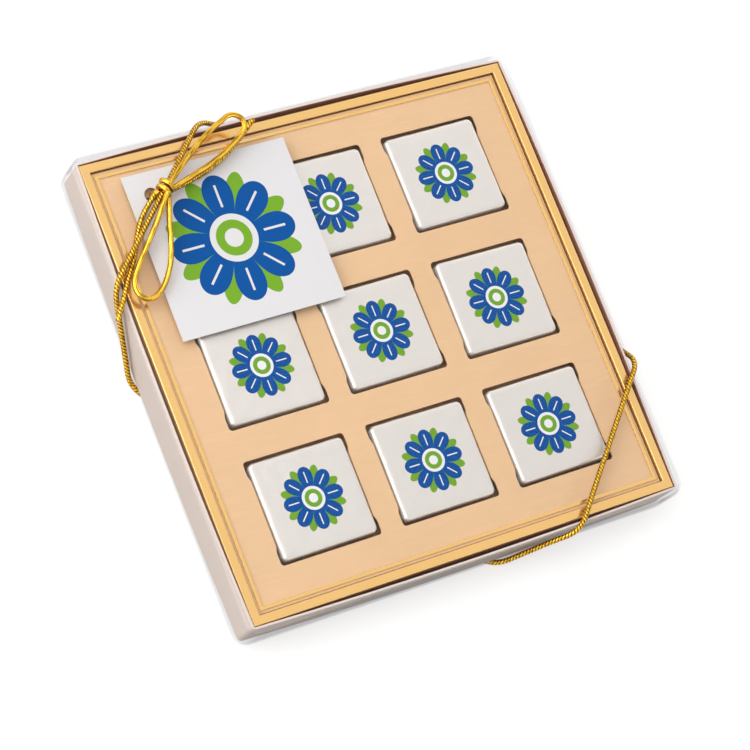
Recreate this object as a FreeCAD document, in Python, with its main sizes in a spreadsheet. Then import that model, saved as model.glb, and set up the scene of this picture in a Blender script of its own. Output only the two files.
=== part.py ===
import FreeCAD, Part
import math
import os

import Sketcher

Vector = FreeCAD.Vector
UP = Vector(0, 0, 1)

# Gift box of nine foil-wrapped chocolate squares. A bowed board tray holds a hollow gold frame, a tan card
# insert with nine pockets and a riser deck under them. A clear lid slips over the tray, and a gold elastic
# loop, tied in a bow with a card tag, goes round two opposite corners. Lengths in millimetres, +Z up, the
# origin under the middle of the box on the surface that it stands on.

SIZES = {
    # gold frame, the size that the tray and the lid follow
    "frame_side": 158.0,
    "frame_band": 3.1,
    "frame_card": 0.6,
    "frame_fold_radius": 0.4,
    # board tray
    "frame_fit": 0.1,
    "tray_wall": 0.8,
    "tray_floor": 1.2,
    "tray_height": 15.4,
    "tray_bow": 1.3,
    "tray_corner_radius": 1.6,
    "rim_drop": 0.4,
    # clear lid
    "lid_fit": 0.3,
    "lid_wall": 0.5,
    "lid_height": 15.0,
    "lid_head_gap": 0.2,
    "lid_corner_radius": 5.0,
    "lid_edge_radius": 1.0,
    # card insert
    "insert_fit": 0.25,
    "insert_card": 0.6,
    "insert_drop": 1.4,
    "ridge_inset": 1.2,
    "ridge_width": 1.2,
    "ridge_rise": 0.4,
    "pitch_across": 44.3,
    "pitch_along": 45.9,
    "pocket_gap_across": 0.5,
    "pocket_gap_along": 1.1,
    "notch_length": 6.6,
    "notch_taper": 2.0,
    "notch_depth": 0.6,
    "notch_radius": 1.3,
    "flap_length": 5.4,
    # riser deck
    "riser_fit": 0.3,
    "riser_card": 0.6,
    # wrapped chocolate squares
    "choc_width": 34.2,
    "choc_length": 33.0,
    "choc_height": 7.6,
    "choc_corner_radius": 1.8,
    "choc_edge_radius": 1.5,
    "choc_proud": 0.7,
    "choc_seat_gap": 0.05,
    "foil": 0.25,
    "foil_fit": 0.05,
    "foil_window": 16.0,
    # card tag
    "tag_width": 59.0,
    "tag_length": 57.4,
    "tag_card": 0.4,
    "tag_gap": 0.1,
    "tag_hole": 5.0,
    "tag_hole_inset": 8.0,
    "tie_reach_across": -2.6,
    "tie_reach_along": 0.8,
    "tie_drop": 0.9,
    # gold elastic cord
    "cord_diameter": 1.8,
    "cord_flat": 0.2,
    "cord_seat_gap": 0.1,
    "cord_gap": 0.3,
    "cord_edge_radius": 3.0,
    "under_inset": 8.0,
    "knot_inset_across": 25.1,
    "knot_inset_along": 19.6,
    "knot_rise": 5.6,
    "knot_bore_gap": 0.3,
    "knot_turn_pitch": 2.3,
    # how far a cut runs past the face that it opens
    "overrun": 1.0,
}
KNOT_TURNS = 2
KNOT_START = 200
KNOT_ANGLE = 43.7
QUARTER = 90
GAP_POINTS = 400
ROWS = 3
RUN_SHARE = 0.45

doc = FreeCAD.newDocument("chocolate_box")
sheet = doc.addObject("Spreadsheet::Sheet", "sizes")
for row, (alias, value) in enumerate(SIZES.items(), start=1):
    sheet.set(f"A{row}", alias)
    sheet.set(f"B{row}", str(value))
    sheet.setAlias(f"B{row}", alias)
doc.recompute()


def size(alias):
    return float(sheet.get(alias))


# Heights and sides that several pieces share, as expressions on the sheet's cells
STAND = "(sizes.cord_diameter - sizes.cord_flat + sizes.cord_seat_gap)"
FLOOR = f"({STAND} + sizes.tray_floor)"
FRAME_HEIGHT = "(sizes.tray_height - sizes.tray_floor - sizes.rim_drop)"
FRAME_INNER = "(sizes.frame_side - 2 * sizes.frame_band)"
TRAY_INNER = "(sizes.frame_side + 2 * sizes.frame_fit)"
TRAY_SIDE = f"({TRAY_INNER} + 2 * sizes.tray_wall)"
INSERT_SIDE = f"({FRAME_INNER} - 2 * sizes.insert_fit)"
INSERT_HEIGHT = f"({FRAME_HEIGHT} - sizes.insert_drop)"
POCKET_WIDTH = "(sizes.choc_width + 2 * sizes.pocket_gap_across)"
POCKET_LENGTH = "(sizes.choc_length + 2 * sizes.pocket_gap_along)"
CHOC_FOOT = f"({INSERT_HEIGHT} + sizes.choc_proud - sizes.choc_height)"
RISER_HEIGHT = f"({CHOC_FOOT} - sizes.choc_seat_gap)"
RISER_SIDE = f"({INSERT_SIDE} - 2 * sizes.insert_card - 2 * sizes.riser_fit)"
LID_SIDE = f"({TRAY_SIDE} + 2 * (sizes.tray_bow + sizes.lid_fit + sizes.lid_wall))"
LID_TOP = f"({STAND} + sizes.tray_height + sizes.lid_head_gap + sizes.lid_wall)"
KNOT_ACROSS = f"(sizes.knot_inset_across - {LID_SIDE} / 2)"
KNOT_ALONG = f"({LID_SIDE} / 2 - sizes.knot_inset_along)"
HOLE_ACROSS = f"({KNOT_ACROSS} + sizes.tie_reach_across)"
HOLE_ALONG = f"({KNOT_ALONG} + sizes.tie_reach_along)"


def value_of(expression):
    """The expression's value in millimetres."""
    return float(FreeCAD.Units.Quantity(sheet.evalExpression(expression)).Value)


def new_body(label, height="0", across="0", along="0"):
    """An empty body whose placement follows the sheet."""
    body = doc.addObject("PartDesign::Body", label)
    body.Label = label
    body.setExpression("Placement.Base.x", across)
    body.setExpression("Placement.Base.y", along)
    body.setExpression("Placement.Base.z", height)
    return body


def new_sketch(body, name, height="0", across="0", along="0"):
    """A sketch on the body's own horizontal plane, raised and shifted by expressions."""
    sketch = body.newObject("Sketcher::SketchObject", name)
    plane = next(p for p in body.Origin.OriginFeatures if p.Role == "XY_Plane")
    sketch.AttachmentSupport = [(plane, "")]
    sketch.MapMode = "FlatFace"
    sketch.setExpression("AttachmentOffset.Base.x", across)
    sketch.setExpression("AttachmentOffset.Base.y", along)
    sketch.setExpression("AttachmentOffset.Base.z", height)
    return sketch


def bind(sketch, constraint, expression):
    """Adds a sized constraint that follows an expression."""
    index = sketch.addConstraint(constraint)
    sketch.setExpression(f"Constraints[{index}]", expression)


def close_loop(sketch, edges):
    """Joins each edge's end to the next one's start."""
    for here, after in zip(edges, edges[1:] + edges[:1]):
        sketch.addConstraint(Sketcher.Constraint("Coincident", here, 2, after, 1))


def draw_rectangle(sketch, width, length):
    """A rectangle about the sketch's origin. Width and length are expressions."""
    half_w = value_of(width) / 2
    half_l = value_of(length) / 2
    signs = [(-1, -1), (1, -1), (1, 1), (-1, 1)]
    corners = [Vector(across * half_w, along * half_l) for across, along in signs]
    edges = [sketch.addGeometry(Part.LineSegment(a, b)) for a, b in zip(corners, corners[1:] + corners[:1])]
    close_loop(sketch, edges)
    for edge, direction in zip(edges, ["Horizontal", "Vertical"] * 2):
        sketch.addConstraint(Sketcher.Constraint(direction, edge))
    sketch.addConstraint(Sketcher.Constraint("Symmetric", edges[0], 1, edges[2], 1, -1, 1))
    bind(sketch, Sketcher.Constraint("DistanceX", edges[0], 1, edges[0], 2, 2 * half_w), width)
    bind(sketch, Sketcher.Constraint("DistanceY", edges[1], 1, edges[1], 2, 2 * half_l), length)
    return edges


def round_corners(sketch, pairs, radius):
    """Rounds the corner of each pair of lines, where the second one starts."""
    bend = value_of(radius)
    for before, after in pairs:
        corner = sketch.Geometry[after].StartPoint
        back = (sketch.Geometry[before].StartPoint - corner).normalize() * bend
        onward = (sketch.Geometry[after].EndPoint - corner).normalize() * bend
        sketch.fillet(before, after, corner + back, corner + onward, bend, True, True)
    arcs = [i for i, shape in enumerate(sketch.Geometry) if isinstance(shape, Part.ArcOfCircle)]
    for arc in arcs[1:]:
        sketch.addConstraint(Sketcher.Constraint("Equal", arcs[0], arc))
    bind(sketch, Sketcher.Constraint("Radius", arcs[0], bend), radius)


def draw_round_rectangle(sketch, width, length, radius):
    """A rectangle about the sketch's origin with rounded corners."""
    edges = draw_rectangle(sketch, width, length)
    round_corners(sketch, zip(edges[-1:] + edges[:-1], edges), radius)


def draw_bowed_square(sketch, side, bow):
    """A square about the sketch's origin whose sides are arcs that stand out by the bow at mid-side."""
    half = value_of(side) / 2
    out = half + value_of(bow)
    corners = [Vector(-half, -half), Vector(half, -half), Vector(half, half), Vector(-half, half)]
    middles = [Vector(0, -out), Vector(out, 0), Vector(0, out), Vector(-out, 0)]
    edges = []
    for start, middle, end in zip(corners, middles, corners[1:] + corners[:1]):
        edges.append(sketch.addGeometry(Part.Arc(start, middle, end)))
    close_loop(sketch, edges)
    sketch.addConstraint(Sketcher.Constraint("Symmetric", edges[0], 1, edges[0], 2, -2))
    sketch.addConstraint(Sketcher.Constraint("Symmetric", edges[1], 1, edges[1], 2, -1))
    sketch.addConstraint(Sketcher.Constraint("Symmetric", edges[2], 1, edges[2], 2, -2))
    bind(sketch, Sketcher.Constraint("DistanceX", edges[0], 1, edges[0], 2, 2 * half), side)
    bind(sketch, Sketcher.Constraint("DistanceY", edges[1], 1, edges[1], 2, 2 * half), side)
    for edge in edges:
        bow_radius = f"({side} * {side} / 8 / {bow} + {bow} / 2)"
        bind(sketch, Sketcher.Constraint("Radius", edge, value_of(bow_radius)), bow_radius)


def pad(body, sketch, name, length):
    feature = body.newObject("PartDesign::Pad", name)
    feature.Profile = sketch
    feature.setExpression("Length", length)
    doc.recompute()
    return feature


def pocket(body, sketch, name, length):
    """Cuts upwards from the sketch's plane."""
    feature = body.newObject("PartDesign::Pocket", name)
    feature.Profile = sketch
    feature.Reversed = True
    feature.setExpression("Length", length)
    doc.recompute()
    if feature.Shape.Volume >= feature.BaseFeature.Shape.Volume:
        raise RuntimeError(f"{name} cuts nothing")
    return feature


def edges_at(shape, height):
    """Names of the edges that lie at one height."""
    slack = shape.BoundBox.DiagonalLength * 1e-6
    names = []
    for number, edge in enumerate(shape.Edges, start=1):
        box = edge.BoundBox
        if abs(box.ZMin - height) < slack and abs(box.ZMax - height) < slack:
            names.append(f"Edge{number}")
    return names


def upright_edges(shape):
    """Names of the edges that stand straight up."""
    slack = shape.BoundBox.DiagonalLength * 1e-6
    names = []
    for number, edge in enumerate(shape.Edges, start=1):
        if max(edge.BoundBox.XLength, edge.BoundBox.YLength) < slack:
            names.append(f"Edge{number}")
    return names


def fillet(body, base, name, edges, radius):
    """Rounds the named edges of the base feature."""
    feature = body.newObject("PartDesign::Fillet", name)
    feature.Base = (base, edges)
    feature.setExpression("Radius", radius)
    doc.recompute()
    return feature


def fillet_at(body, base, name, height, radius):
    """Rounds every edge of the base feature that lies at the height."""
    return fillet(body, base, name, edges_at(base.Shape, height), radius)


def hollow_from_below(body, base, name, wall):
    """Leaves a shell of the wall's thickness, open underneath."""
    lowest = min(range(len(base.Shape.Faces)), key=lambda i: base.Shape.Faces[i].CenterOfMass.z)
    feature = body.newObject("PartDesign::Thickness", name)
    feature.Base = (base, [f"Face{lowest + 1}"])
    feature.setExpression("Value", wall)
    feature.Reversed = True
    feature.Join = 0
    doc.recompute()
    return feature


def make_base_tray():
    body = new_body("base_tray", height=STAND)
    outside = new_sketch(body, "tray_outside")
    draw_bowed_square(outside, TRAY_SIDE, "sizes.tray_bow")
    block = pad(body, outside, "tray_block", "sizes.tray_height")
    fillet(body, block, "tray_corners", upright_edges(block.Shape), "sizes.tray_corner_radius")
    inside = new_sketch(body, "tray_inside", height="sizes.tray_floor")
    draw_bowed_square(inside, TRAY_INNER, "sizes.tray_bow")
    pocket(body, inside, "tray_hollow", "sizes.tray_height - sizes.tray_floor + sizes.overrun")
    return body


def make_gold_frame():
    body = new_body("gold_frame", height=FLOOR)
    ring = new_sketch(body, "frame_ring")
    draw_rectangle(ring, "sizes.frame_side", "sizes.frame_side")
    draw_rectangle(ring, FRAME_INNER, FRAME_INNER)
    walls = pad(body, ring, "frame_walls", FRAME_HEIGHT)
    fillet_at(body, walls, "frame_folds", value_of(FRAME_HEIGHT), "sizes.frame_fold_radius")
    channel = new_sketch(body, "frame_channel")
    outer = "(sizes.frame_side - 2 * sizes.frame_card)"
    inner = f"({FRAME_INNER} + 2 * sizes.frame_card)"
    draw_rectangle(channel, outer, outer)
    draw_rectangle(channel, inner, inner)
    pocket(body, channel, "frame_hollow", f"{FRAME_HEIGHT} - sizes.frame_card")
    return body


def draw_pocket_outline(sketch):
    """A square hole that is wider over a rounded, tapered notch at each of its four corners."""
    near_x = f"({POCKET_WIDTH} / 2)"
    far_x = f"({POCKET_WIDTH} / 2 + sizes.notch_depth)"
    near_y = f"({POCKET_LENGTH} / 2 - sizes.notch_length)"
    taper_y = f"({POCKET_LENGTH} / 2 - sizes.notch_length + sizes.notch_taper)"
    far_y = f"({POCKET_LENGTH} / 2)"
    quarter = [(far_x, far_y), (far_x, taper_y), (near_x, near_y)]
    outline = []
    for sign_x, sign_y, step in [(1, 1, 1), (1, -1, -1), (-1, -1, 1), (-1, 1, -1)]:
        for x, y in quarter[::step]:
            outline.append((sign_x, x, sign_y, y))
    points = [Vector(sx * value_of(x), sy * value_of(y)) for sx, x, sy, y in outline]
    edges = [sketch.addGeometry(Part.LineSegment(a, b)) for a, b in zip(points, points[1:] + points[:1])]
    close_loop(sketch, edges)
    for edge, (sign_x, x, sign_y, y) in zip(edges, outline):
        for direction, sign, reach in (("DistanceX", sign_x, x), ("DistanceY", sign_y, y)):
            ends = (-1, 1, edge, 1) if sign > 0 else (edge, 1, -1, 1)
            bind(sketch, Sketcher.Constraint(direction, *ends, value_of(reach)), reach)
    corners = zip(edges[-1:] + edges[:-1], edges, outline)
    tips = [(before, after) for before, after, (_, _, _, y) in corners if y == far_y]
    round_corners(sketch, tips, "sizes.notch_radius")


def spread_over_grid(body, original, name):
    """Repeats a feature of the first pocket over all rows of pockets."""
    pattern = body.newObject("PartDesign::LinearPattern", name)
    pattern.Originals = [original]
    axes = {p.Role: p for p in body.Origin.OriginFeatures}
    pattern.Direction = (axes["X_Axis"], [""])
    pattern.Direction2 = (axes["Y_Axis"], [""])
    pattern.Occurrences = ROWS
    pattern.Occurrences2 = ROWS
    pattern.setExpression("Length", f"{ROWS - 1} * sizes.pitch_across")
    pattern.setExpression("Length2", f"{ROWS - 1} * sizes.pitch_along")
    body.Tip = pattern
    doc.recompute()
    return pattern


def make_pocket_insert():
    body = new_body("pocket_insert", height=FLOOR)
    outside = new_sketch(body, "insert_outside")
    draw_rectangle(outside, INSERT_SIDE, INSERT_SIDE)
    pad(body, outside, "insert_block", INSERT_HEIGHT)
    inside = new_sketch(body, "insert_inside")
    hollow = f"({INSERT_SIDE} - 2 * sizes.insert_card)"
    draw_rectangle(inside, hollow, hollow)
    pocket(body, inside, "insert_legs", f"{INSERT_HEIGHT} - sizes.insert_card")

    border = new_sketch(body, "ridge_border", height=INSERT_HEIGHT)
    ridge_outer = f"({FRAME_INNER} - 2 * sizes.ridge_inset)"
    ridge_inner = f"({ridge_outer} - 2 * sizes.ridge_width)"
    draw_rectangle(border, ridge_outer, ridge_outer)
    draw_rectangle(border, ridge_inner, ridge_inner)
    pad(body, border, "stamped_ridge", "sizes.ridge_rise")

    first = {"across": "-sizes.pitch_across", "along": "-sizes.pitch_along"}
    flap_z = f"({INSERT_HEIGHT} - sizes.insert_card - sizes.flap_length)"
    flaps = new_sketch(body, "flap_outline", height=flap_z, **first)
    flap_run = f"({POCKET_LENGTH} - 2 * sizes.notch_length)"
    draw_rectangle(flaps, f"({POCKET_WIDTH} + 2 * sizes.insert_card)", flap_run)
    flap_pad = pad(body, flaps, "folded_flaps", "sizes.flap_length + sizes.insert_card")
    spread_over_grid(body, flap_pad, "all_flaps")

    outline = new_sketch(body, "pocket_outline", height=flap_z, **first)
    draw_pocket_outline(outline)
    cut = pocket(body, outline, "pocket_cut", "sizes.flap_length + sizes.insert_card + sizes.overrun")
    spread_over_grid(body, cut, "all_pockets")
    return body


def make_riser_deck():
    body = new_body("riser_deck", height=FLOOR)
    outside = new_sketch(body, "riser_outside")
    draw_rectangle(outside, RISER_SIDE, RISER_SIDE)
    pad(body, outside, "riser_block", RISER_HEIGHT)
    inside = new_sketch(body, "riser_inside")
    hollow = f"({RISER_SIDE} - 2 * sizes.riser_card)"
    draw_rectangle(inside, hollow, hollow)
    pocket(body, inside, "riser_legs", f"{RISER_HEIGHT} - sizes.riser_card")
    return body


def make_clear_lid():
    body = new_body("clear_lid", height=f"{LID_TOP} - sizes.lid_height")
    outside = new_sketch(body, "lid_outside")
    draw_round_rectangle(outside, LID_SIDE, LID_SIDE, "sizes.lid_corner_radius")
    block = pad(body, outside, "lid_block", "sizes.lid_height")
    edge = fillet_at(body, block, "lid_edge", size("lid_height"), "sizes.lid_edge_radius")
    hollow_from_below(body, edge, "lid_shell", "sizes.lid_wall")
    return body


def grid_places():
    """Number, column and row of each pocket, counted from the middle one."""
    middle = (ROWS - 1) // 2
    number = 0
    for row in range(ROWS):
        for column in range(ROWS):
            number += 1
            yield number, column - middle, middle - row


def chocolate_body(label, column, row, lift="0"):
    """A body over its pocket's place on the riser deck, raised by the lift."""
    return new_body(
        label,
        height=f"{FLOOR} + {CHOC_FOOT} + {lift}",
        across=f"{column} * sizes.pitch_across",
        along=f"{row} * sizes.pitch_along",
    )


def make_chocolate(number, column, row):
    """The moulded square inside its foil."""
    skin = "(sizes.foil + sizes.foil_fit)"
    body = chocolate_body(f"chocolate_{number}", column, row, skin)
    outline = new_sketch(body, f"square_outline_{number}")
    sides = (f"(sizes.choc_width - 2 * {skin})", f"(sizes.choc_length - 2 * {skin})")
    draw_round_rectangle(outline, *sides, f"(sizes.choc_corner_radius - {skin})")
    height = f"(sizes.choc_height - 2 * {skin})"
    block = pad(body, outline, f"square_block_{number}", height)
    fillet_at(body, block, f"square_edge_{number}", value_of(height), f"sizes.choc_edge_radius - {skin}")
    return body


def make_foil_wrap(number, column, row):
    """The foil: a cap over the square, folded under it round an open middle."""
    body = chocolate_body(f"foil_wrap_{number}", column, row)
    outline = new_sketch(body, f"foil_outline_{number}")
    draw_round_rectangle(outline, "sizes.choc_width", "sizes.choc_length", "sizes.choc_corner_radius")
    block = pad(body, outline, f"foil_block_{number}", "sizes.choc_height")
    edge = fillet_at(body, block, f"foil_edge_{number}", size("choc_height"), "sizes.choc_edge_radius")
    hollow_from_below(body, edge, f"foil_cap_{number}", "sizes.foil")
    fold = new_sketch(body, f"foil_fold_outline_{number}")
    draw_round_rectangle(fold, "sizes.choc_width", "sizes.choc_length", "sizes.choc_corner_radius")
    draw_rectangle(fold, "sizes.foil_window", "sizes.foil_window")
    pad(body, fold, f"foil_fold_{number}", "sizes.foil")
    return body


def make_gift_tag():
    """The tag lies on the lid and hangs by its hole from the tie under the knot."""
    body = new_body(
        "gift_tag",
        height=f"{LID_TOP} + sizes.tag_gap",
        across=f"{HOLE_ACROSS} + sizes.tag_width / 2 - sizes.tag_hole_inset",
        along=f"{HOLE_ALONG} - sizes.tag_length / 2 + sizes.tag_hole_inset",
    )
    outline = new_sketch(body, "tag_outline")
    draw_rectangle(outline, "sizes.tag_width", "sizes.tag_length")
    pad(body, outline, "tag_card_blank", "sizes.tag_card")
    punch = new_sketch(
        body,
        "tag_punch",
        across="sizes.tag_hole_inset - sizes.tag_width / 2",
        along="sizes.tag_length / 2 - sizes.tag_hole_inset",
    )
    ring = punch.addGeometry(Part.Circle(Vector(0, 0), UP, size("tag_hole") / 2))
    punch.addConstraint(Sketcher.Constraint("Coincident", ring, 3, -1, 1))
    bind(punch, Sketcher.Constraint("Diameter", ring, size("tag_hole")), "sizes.tag_hole")
    pocket(body, punch, "tag_hole_cut", "sizes.tag_card + sizes.overrun")
    return body


def corner_arc(first, corner, last):
    """The arc that is tangent to a corner's two equal legs."""
    back = (first - corner).normalize()
    ahead = (last - corner).normalize()
    half_turn = (math.pi - back.getAngle(ahead)) / 2
    radius = first.distanceToPoint(corner) / math.tan(half_turn)
    inward = (back + ahead).normalize()
    middle = corner + inward * (radius / math.cos(half_turn) - radius)
    return Part.Arc(first, middle, last).toShape()


def biarc(start, start_way, end, end_way):
    """Two arcs that leave the start and reach the end along unit directions."""
    chord = end - start
    ways = start_way + end_way
    lead = chord.dot(ways)
    spread = 4 - ways.dot(ways)
    leg = (math.sqrt(lead**2 + spread * chord.dot(chord)) - lead) / spread
    first_corner = start + start_way * leg
    last_corner = end - end_way * leg
    meeting = (first_corner + last_corner) / 2
    return [corner_arc(start, first_corner, meeting), corner_arc(meeting, last_corner, end)]


def cord_path(points, edge_radius=None):
    """Straight runs joined by tangent arcs, as large as the runs allow or of one edge's radius."""
    edges = []
    radii = []
    start = points[0]
    for before, corner, after in zip(points, points[1:], points[2:]):
        back = (before - corner).normalize()
        ahead = (after - corner).normalize()
        half_turn = (math.pi - back.getAngle(ahead)) / 2
        shorter = min(before.distanceToPoint(corner), corner.distanceToPoint(after))
        reach = RUN_SHARE * shorter
        radius = reach / math.tan(half_turn)
        if edge_radius is not None and edge_radius < radius:
            radius = edge_radius
            reach = radius * math.tan(half_turn)
        radii.append(radius)
        first = corner + back * reach
        last = corner + ahead * reach
        edges.append(Part.LineSegment(start, first).toShape())
        edges.append(corner_arc(first, corner, last))
        start = last
    edges.append(Part.LineSegment(start, points[-1]).toShape())
    return Part.Wire(edges), radii


def swept_cord(label, path, start, heading):
    """A round cord along a path. Prints how its volume meets section times length."""
    radius = size("cord_diameter") / 2
    section = Part.Wire([Part.Circle(start, heading, radius).toShape()])
    solid = path.makePipeShell([section], True, False)
    share = solid.Volume / (math.pi * radius**2 * path.Length)
    print(f"{label}: length {path.Length:.1f}, volume share {share:.4f}")
    return solid


def cord_solid(label, points, edge_radius=None):
    """A cord whose runs turn at the points. Prints its bend radii."""
    path, radii = cord_path(points, edge_radius)
    print(f"{label}: bend radii", " ".join(f"{r:.1f}" for r in radii))
    return swept_cord(label, path, points[0], points[1] - points[0])


def new_feature(label, shape):
    feature = doc.addObject("Part::Feature", label)
    feature.Label = label
    feature.Shape = shape
    return feature


# Places that the cords share
cord_radius = size("cord_diameter") / 2
strand_low = cord_radius - size("cord_flat")
lid_half = value_of(LID_SIDE) / 2
strand_out = lid_half + size("cord_gap") + cord_radius
strand_high = value_of(LID_TOP) + size("cord_gap") + cord_radius
knot = Vector(value_of(KNOT_ACROSS), value_of(KNOT_ALONG), value_of(LID_TOP) + size("knot_rise"))
knot_ring = size("cord_diameter") / 2 + size("knot_bore_gap") + cord_radius
along_knot = Vector(math.cos(math.radians(KNOT_ANGLE)), math.sin(math.radians(KNOT_ANGLE)), 0)
across_knot = UP.cross(along_knot)
knot_half = size("knot_turn_pitch") * KNOT_TURNS / 2

# Where the elastic crosses the lid's edges and the foot of each wall, from the corner that it holds
LEFT_EDGE, LEFT_FOOT = 45.5, 74.0
BACK_EDGE, BACK_FOOT = 46.8, 70.0
FRONT_EDGE, FRONT_FOOT = 43.2, 68.0
RIGHT_EDGE, RIGHT_FOOT = 46.6, 74.0


def cut_flat(solid):
    """Takes off what reaches below the surface that the box stands on."""
    box = solid.BoundBox
    margin = size("cord_diameter")
    below = Part.makeBox(
        box.XLength + 2 * margin,
        box.YLength + 2 * margin,
        margin,
        Vector(box.XMin - margin, box.YMin - margin, -margin),
    )
    return solid.cut(below)


def make_elastic():
    """The elastic loop, in four stretches that meet end to end."""
    left_edge = Vector(-strand_out, lid_half - LEFT_EDGE, strand_high)
    left_foot = Vector(-strand_out, lid_half - LEFT_FOOT, strand_low)
    front_foot = Vector(lid_half - FRONT_FOOT, -strand_out, strand_low)
    front_edge = Vector(lid_half - FRONT_EDGE, -strand_out, strand_high)
    right_edge = Vector(strand_out, RIGHT_EDGE - lid_half, strand_high)
    right_foot = Vector(strand_out, RIGHT_FOOT - lid_half, strand_low)
    back_foot = Vector(BACK_FOOT - lid_half, strand_out, strand_low)
    back_edge = Vector(BACK_EDGE - lid_half, strand_out, strand_high)

    inset = size("under_inset")
    left_way = (front_foot - left_foot).normalize()
    right_way = (back_foot - right_foot).normalize()
    left_start = left_foot + left_way * inset
    left_end = front_foot - left_way * inset
    right_start = right_foot + right_way * inset
    right_end = back_foot - right_way * inset

    knot_exit = along_knot * (knot_half + size("cord_diameter"))
    edge_radius = size("cord_edge_radius")
    past_knot = [knot - knot_exit, knot + knot_exit]
    upper_left = [left_start, left_foot, left_edge, *past_knot, back_edge, back_foot, right_end]
    upper_right = [left_end, front_foot, front_edge, right_edge, right_foot, right_start]
    stretches = {
        "elastic_under_left": [left_start, left_end],
        "elastic_under_right": [right_start, right_end],
        "elastic_top_left": upper_left,
        "elastic_top_right": upper_right,
    }
    made = []
    for label, points in stretches.items():
        made.append(new_feature(label, cut_flat(cord_solid(label, points, edge_radius))))
    return made


def knot_spoke(turn_degrees):
    """The direction out from the knot's axis. The angle goes up from the knot's near side."""
    angle = math.radians(turn_degrees)
    return across_knot * -math.cos(angle) + UP * math.sin(angle)


def winding_point(turn_degrees):
    """A point on the winding's middle line."""
    turned = (turn_degrees - KNOT_START) / 360
    reach = size("knot_turn_pitch") * turned - knot_half
    return knot + along_knot * reach + knot_spoke(turn_degrees) * knot_ring


def winding_way(turn_degrees):
    """The direction in which the winding runs at that point."""
    round_knot = knot_spoke(turn_degrees + QUARTER) * (2 * math.pi * knot_ring)
    return (round_knot + along_knot * size("knot_turn_pitch")).normalize()


def make_bow_knot():
    """One cord wound round the elastic. Prints the least gap between its turns."""
    arcs = []
    for start in range(KNOT_START, KNOT_START + KNOT_TURNS * 360, QUARTER):
        end = start + QUARTER
        arcs.extend(biarc(winding_point(start), winding_way(start), winding_point(end), winding_way(end)))
    path = Part.Wire(arcs)
    points = path.discretize(Number=GAP_POINTS)
    half_turn = GAP_POINTS // (2 * KNOT_TURNS)
    apart = min(
        point.distanceToPoint(other)
        for index, point in enumerate(points)
        for other in points[index + half_turn :]
    )
    print(f"bow_knot: least gap to itself {apart - size('cord_diameter'):.3f}")
    winding = swept_cord("bow_knot", path, winding_point(KNOT_START), winding_way(KNOT_START))
    return new_feature("bow_knot", winding)


def on_knot(end, turn_degrees):
    """The winding's point at an angle, in its first turn where end is -1 and in its last where it is 1."""
    turned = (turn_degrees - KNOT_START) % 360
    if end > 0:
        turned += 360 * (KNOT_TURNS - 1)
    return winding_point(KNOT_START + turned)


# Routes of the bow's cords, from the knot's middle, between their ends at the knot, chosen by eye
UPPER_LOOP = [
    (9.3, 6.9, 1.8),
    (18.1, 13.0, 1.5),
    (25.7, 16.8, 1.6),
    (30.6, 18.9, 1.8),
    (34.3, 16.6, 1.4),
    (34.0, 12.5, 0.7),
    (26.9, 8.3, -0.1),
    (19.0, 4.7, -0.5),
    (10.9, 2.1, -0.2),
]
LOWER_LOOP = [
    (-6.0, -9.2, 0.6),
    (-12.7, -16.9, -1.6),
    (-18.2, -23.1, -2.6),
    (-20.4, -27.4, -2.8),
    (-19.9, -31.1, -2.9),
    (-17.0, -33.2, -3.0),
    (-13.1, -31.9, -3.0),
    (-9.3, -28.3, -2.6),
    (-5.5, -22.2, -1.9),
    (-3.3, -14.7, -0.9),
    (-1.5, -8.0, -0.2),
]
UPPER_TAIL = [(10.5, 1.3, -2.6), (19.3, 4.0, -3.1), (27.0, 7.7, -2.9), (33.3, 12.0, -1.9), (38.5, 15.8, -0.7)]
LOWER_TAIL = [
    (-7.3, -3.9, -2.8),
    (-10.7, -7.8, -3.9),
    (-13.3, -12.4, -4.5),
    (-16.0, -17.9, -4.5),
    (-21.2, -24.6, -4.4),
    (-24.7, -30.3, -4.3),
    (-28.9, -36.4, -5.3),
]


def make_bow():
    """The bow's two loops, its two loose ends and the tie into the tag's hole."""
    upper_loop, lower_loop, upper_tail, lower_tail = (
        [knot + Vector(*offset) for offset in route]
        for route in (UPPER_LOOP, LOWER_LOOP, UPPER_TAIL, LOWER_TAIL)
    )
    tie_top = on_knot(1, -90)
    tie_bend = Vector(value_of(HOLE_ACROSS), value_of(HOLE_ALONG), tie_top.z - size("tie_drop"))
    tie_end = Vector(tie_bend.x, tie_bend.y, value_of(LID_TOP) + size("cord_gap"))
    routes = {
        "bow_loop_upper": [on_knot(1, 80), *upper_loop, on_knot(1, 20)],
        "bow_loop_lower": [on_knot(-1, 60), *lower_loop, on_knot(-1, 0)],
        "bow_tail_upper": [on_knot(1, -40), *upper_tail],
        "bow_tail_lower": [on_knot(-1, 200), *lower_tail],
        "tag_tie": [tie_top, tie_bend, tie_end],
    }
    return [new_feature(label, cord_solid(label, points)) for label, points in routes.items()]


def make_all():
    parts = [make_base_tray(), make_gold_frame(), make_pocket_insert(), make_riser_deck(), make_clear_lid()]
    for number, column, row in grid_places():
        parts.append(make_chocolate(number, column, row))
        parts.append(make_foil_wrap(number, column, row))
    parts.append(make_gift_tag())
    parts.extend(make_elastic())
    parts.append(make_bow_knot())
    parts.extend(make_bow())
    return parts


sub_parts = make_all()
doc.recompute()
for item in doc.Objects:
    if "Invalid" in item.State or "Error" in item.State:
        raise RuntimeError(f"{item.Label} failed: {item.State}")
for part in sub_parts:
    if part.Shape.isNull() or not part.Shape.isValid() or len(part.Shape.Solids) != 1:
        raise RuntimeError(f"{part.Label} has no single valid solid")
os.makedirs("parts", exist_ok=True)
for part in sub_parts:
    part.Shape.exportStep(f"parts/{part.Label}.step")
    print(f"{part.Label}: volume {part.Shape.Volume:.1f}")
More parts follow.
